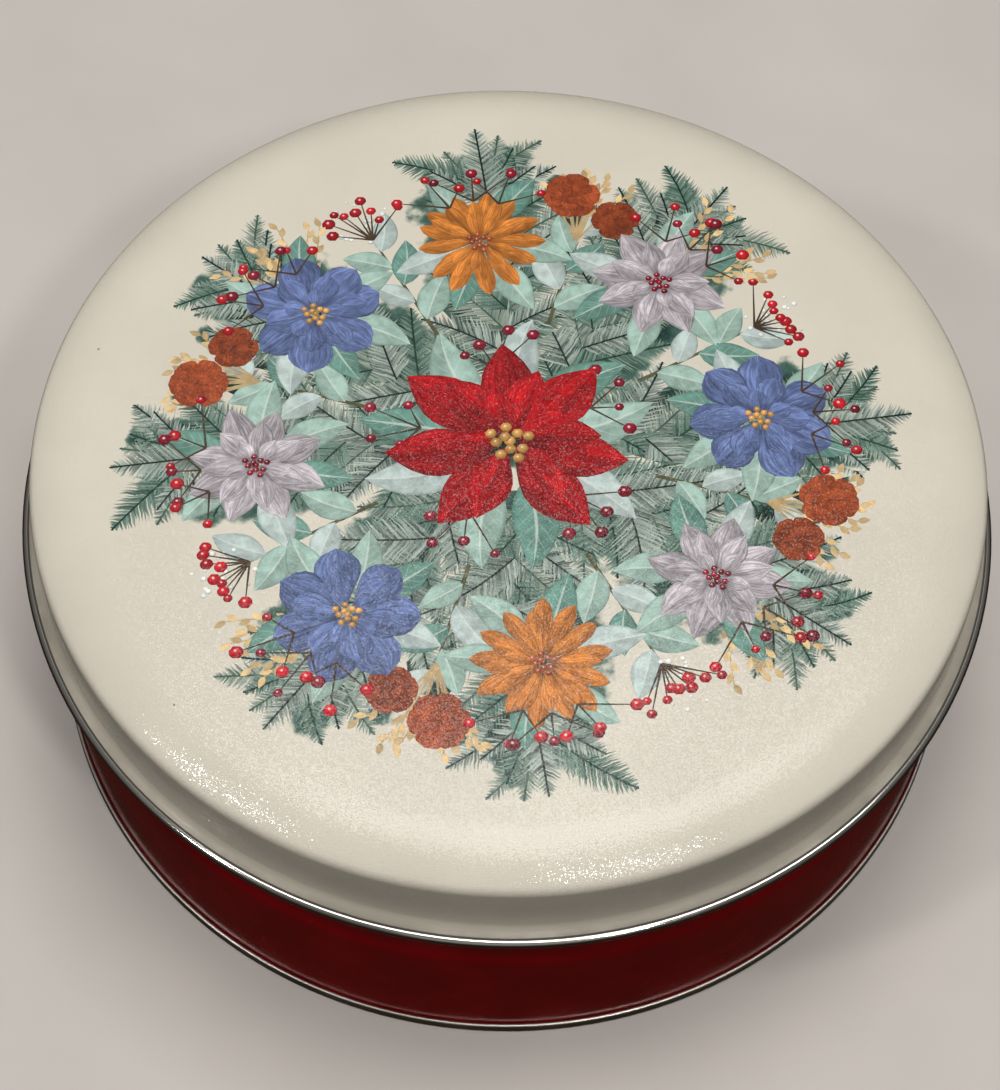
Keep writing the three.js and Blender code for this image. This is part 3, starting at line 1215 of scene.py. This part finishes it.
def bare_tinplate(effects):
    """Bright rolled tinplate, with fine rolling lines, hairlines and dull patches."""
    material, tree, shader = blank("bare_tinplate")
    scratch, smudge = scuffed(tree, effects, 0.7)
    stretch = (1 / ROLLING_LENGTH, 1 / ROLLING_WIDTH, 1 / ROLLING_WIDTH)
    lines = grain(mapped(tree, Scale=stretch), 2.0)
    tone = varied(smudge, 0.94, 1.04) * varied(lines, 0.94, 1.04)
    roughness = varied(smudge, 0.3, 0.4) + scratch * 0.2
    dress(shader, mix(1.0, TIN_METAL, tone, "MULTIPLY"), 1, roughness)
    bump(shader, lines, ROLLING_DEPTH, 0.6)
    return material


# The bake map's two discs, in shares of its side
BIG_DISC_RADIUS = 0.496
SMALL_DISC_PLACE = 0.084
SMALL_DISC_RADIUS = 0.08


def spread_flat(piece, middle):
    """A bake map: the outer skin as one big disc, and the inner skin as a small one in a corner."""
    mesh = piece.data

    def read(items, field, kind, width=1):
        values = np.empty(len(items) * width, dtype=kind)
        items.foreach_get(field, values)
        return values

    corner_of = read(mesh.loops, "vertex_index", np.int32)
    x, y = read(mesh.vertices, "co", np.float32, 3).reshape(-1, 3)[corner_of, :2].T
    runs = read(mesh.attributes["run"].data, "value", np.float32)
    sizes = read(mesh.polygons, "loop_total", np.int32)
    inner = np.repeat(read(mesh.polygons, "material_index", np.int32), sizes) > 0
    reach = sum(math.dist(a, b) for a, b in zip(middle, middle[1:]))
    share = np.clip(runs[corner_of] / reach, 0, 1)
    angle = np.arctan2(y, x)
    centre = np.where(inner, SMALL_DISC_PLACE, 0.5)
    radius = np.where(inner, SMALL_DISC_RADIUS, BIG_DISC_RADIUS) * share
    flat = np.stack([centre + radius * np.cos(angle), centre + radius * np.sin(angle)], 1)
    mesh.uv_layers.new(name="OFBake").data.foreach_set("uv", flat.astype(np.float32).ravel())


effects = {
    "needles": needles_effect(),
    "scuffs": scuffs_effect(),
    "coat_end": coat_end_effect(),
    "stipple": stipple_effect(),
}
tinplate = bare_tinplate(effects)
lid = printed_lid([printed_enamel(effects), tinplate])
spread_flat(lid, lid_middle())
wall = spun_sheet("tin_wall", wall_middle(), [red_lacquer(effects), tinplate])
raise_lock_seam(wall)
end = spun_sheet("tin_bottom_end", end_middle(), [tinplate, tinplate])
for piece, node, body, slot in (
    (lid, "lid_shell", "lid", "ivory_enamel"),
    (wall, "body_wall", "box", "red_enamel"),
    (end, "bottom_end", "box", "bare_tinplate"),
):
    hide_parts(node)
    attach(piece, body)


# The studio. The camera stands as it stood for the photograph
SENSOR = 36
FOCAL_PIXELS = 2500
PHOTO_PIXELS = 1090
CAMERA_PLACE = (0.9 * MM, -320.5 * MM, 561.3 * MM)
CAMERA_TILT = math.radians(90 - 58.61)
CAMERA_TURN = math.radians(0.23)
CAMERA_ROLL = math.radians(2.08)

# The floor and the sky, with lengths in metres
FLOOR_REACH = 3
FLOOR_FADE = (0.6, 1.8)
FLOOR_CLOUD_SIZE = 0.06
FLOOR_TINT = (0.62, 0.58, 0.54)
ZENITH_TINT = (0.18, 0.18, 0.18)
HORIZON_TINT = (0.07, 0.068, 0.065)
GROUND_TINT = (0.022, 0.014, 0.01)
BELOW_TINT = (0.42, 0.4, 0.38)
BACKDROP_TINT = (0.52, 0.48, 0.45)

# Each lamp's place and side in metres, power in watts and tint
SOFT_LIGHT = (1, 0.98, 0.96)
SPOT_LIGHT = (1, 0.98, 0.95)
LAMPS = {
    "ceiling": ((0.1, 0.13, 1.75), 1.1, 18, SOFT_LIGHT),
    "front": ((0.15, -1.45, 1.03), 1.2, 0.7, SOFT_LIGHT),
    "right glint": ((0.5, -0.92, 1.47), 0.15, 5, SPOT_LIGHT),
    "left glint": ((-1.02, -0.55, 1.38), 0.15, 4.4, SPOT_LIGHT),
    "far": ((-0.19, 0.82, 1.59), 0.4, 0.4, SPOT_LIGHT),
}


def set_camera():
    lens = bpy.data.cameras.new("camera")
    lens.sensor_width = SENSOR
    lens.lens = SENSOR * FOCAL_PIXELS / PHOTO_PIXELS
    camera = link("camera", lens)
    place = Matrix.Translation(CAMERA_PLACE)
    for angle, axis in ((CAMERA_TILT, "X"), (CAMERA_TURN, "Y"), (CAMERA_ROLL, "Z")):
        place = place @ Matrix.Rotation(angle, 4, axis)
    camera.matrix_world = place
    bpy.context.scene.camera = camera


def set_floor():
    """A pale floor that fades out far off and shows from above only, and lights nothing from below."""
    bm = bmesh.new()
    bmesh.ops.create_grid(bm, x_segments=1, y_segments=1, size=FLOOR_REACH)
    mesh = bpy.data.meshes.new("floor")
    bm.to_mesh(mesh)
    bm.free()
    material, tree, shader = blank("floor")
    cloud = varied(noise(tree, FLOOR_CLOUD_SIZE, 3.0), 0.97, 1.03)
    dress(shader, mix(1.0, FLOOR_TINT, cloud, "MULTIPLY"), 0, 0.9)
    from_above = 1.0 - put(tree, "NewGeometry")["Backfacing"]
    far = put(tree, "VectorMath", {0: object_place(tree)}, operation="LENGTH")["Value"]
    wire(shader.inputs["Alpha"], from_above * fade(far, *FLOOR_FADE))
    mesh.materials.append(material)
    floor = link("floor", mesh)
    floor.visible_diffuse = False
    floor.visible_glossy = False


def set_sky():
    """Soft light from overhead, over a dark ground that is light only for a view through the floor."""
    world = bpy.data.worlds.new("studio")
    bpy.context.scene.world = world
    world.use_nodes = True
    tree = world.node_tree
    up = parts(put(tree, "TexCoord")["Generated"])[2]
    path = put(tree, "LightPath")
    sky = mix(ease(up, 0.05, 0.95), HORIZON_TINT, ZENITH_TINT)
    ground = mix(path["Transparent Depth"] > 0.5, GROUND_TINT, BELOW_TINT)
    around = mix(ease(up, -0.06, 0.06), ground, sky)
    seen = mix(path["Is Camera Ray"], around, BACKDROP_TINT)
    wire(tree.nodes["Background"].inputs["Color"], seen)


def set_lamp(name, place, side, power, tint):
    """A square lamp that faces the tin."""
    lamp = bpy.data.lights.new(name, "AREA")
    lamp.size = side
    lamp.energy = power
    lamp.color = tint
    item = link(name, lamp)
    item.location = place
    item.rotation_euler = Vector(place).to_track_quat("Z", "Y").to_euler()


set_camera()
set_floor()
set_sky()
for name, (place, side, power, tint) in LAMPS.items():
    set_lamp(name, place, side, power, tint)
bpy.context.scene.view_settings.view_transform = "Standard"
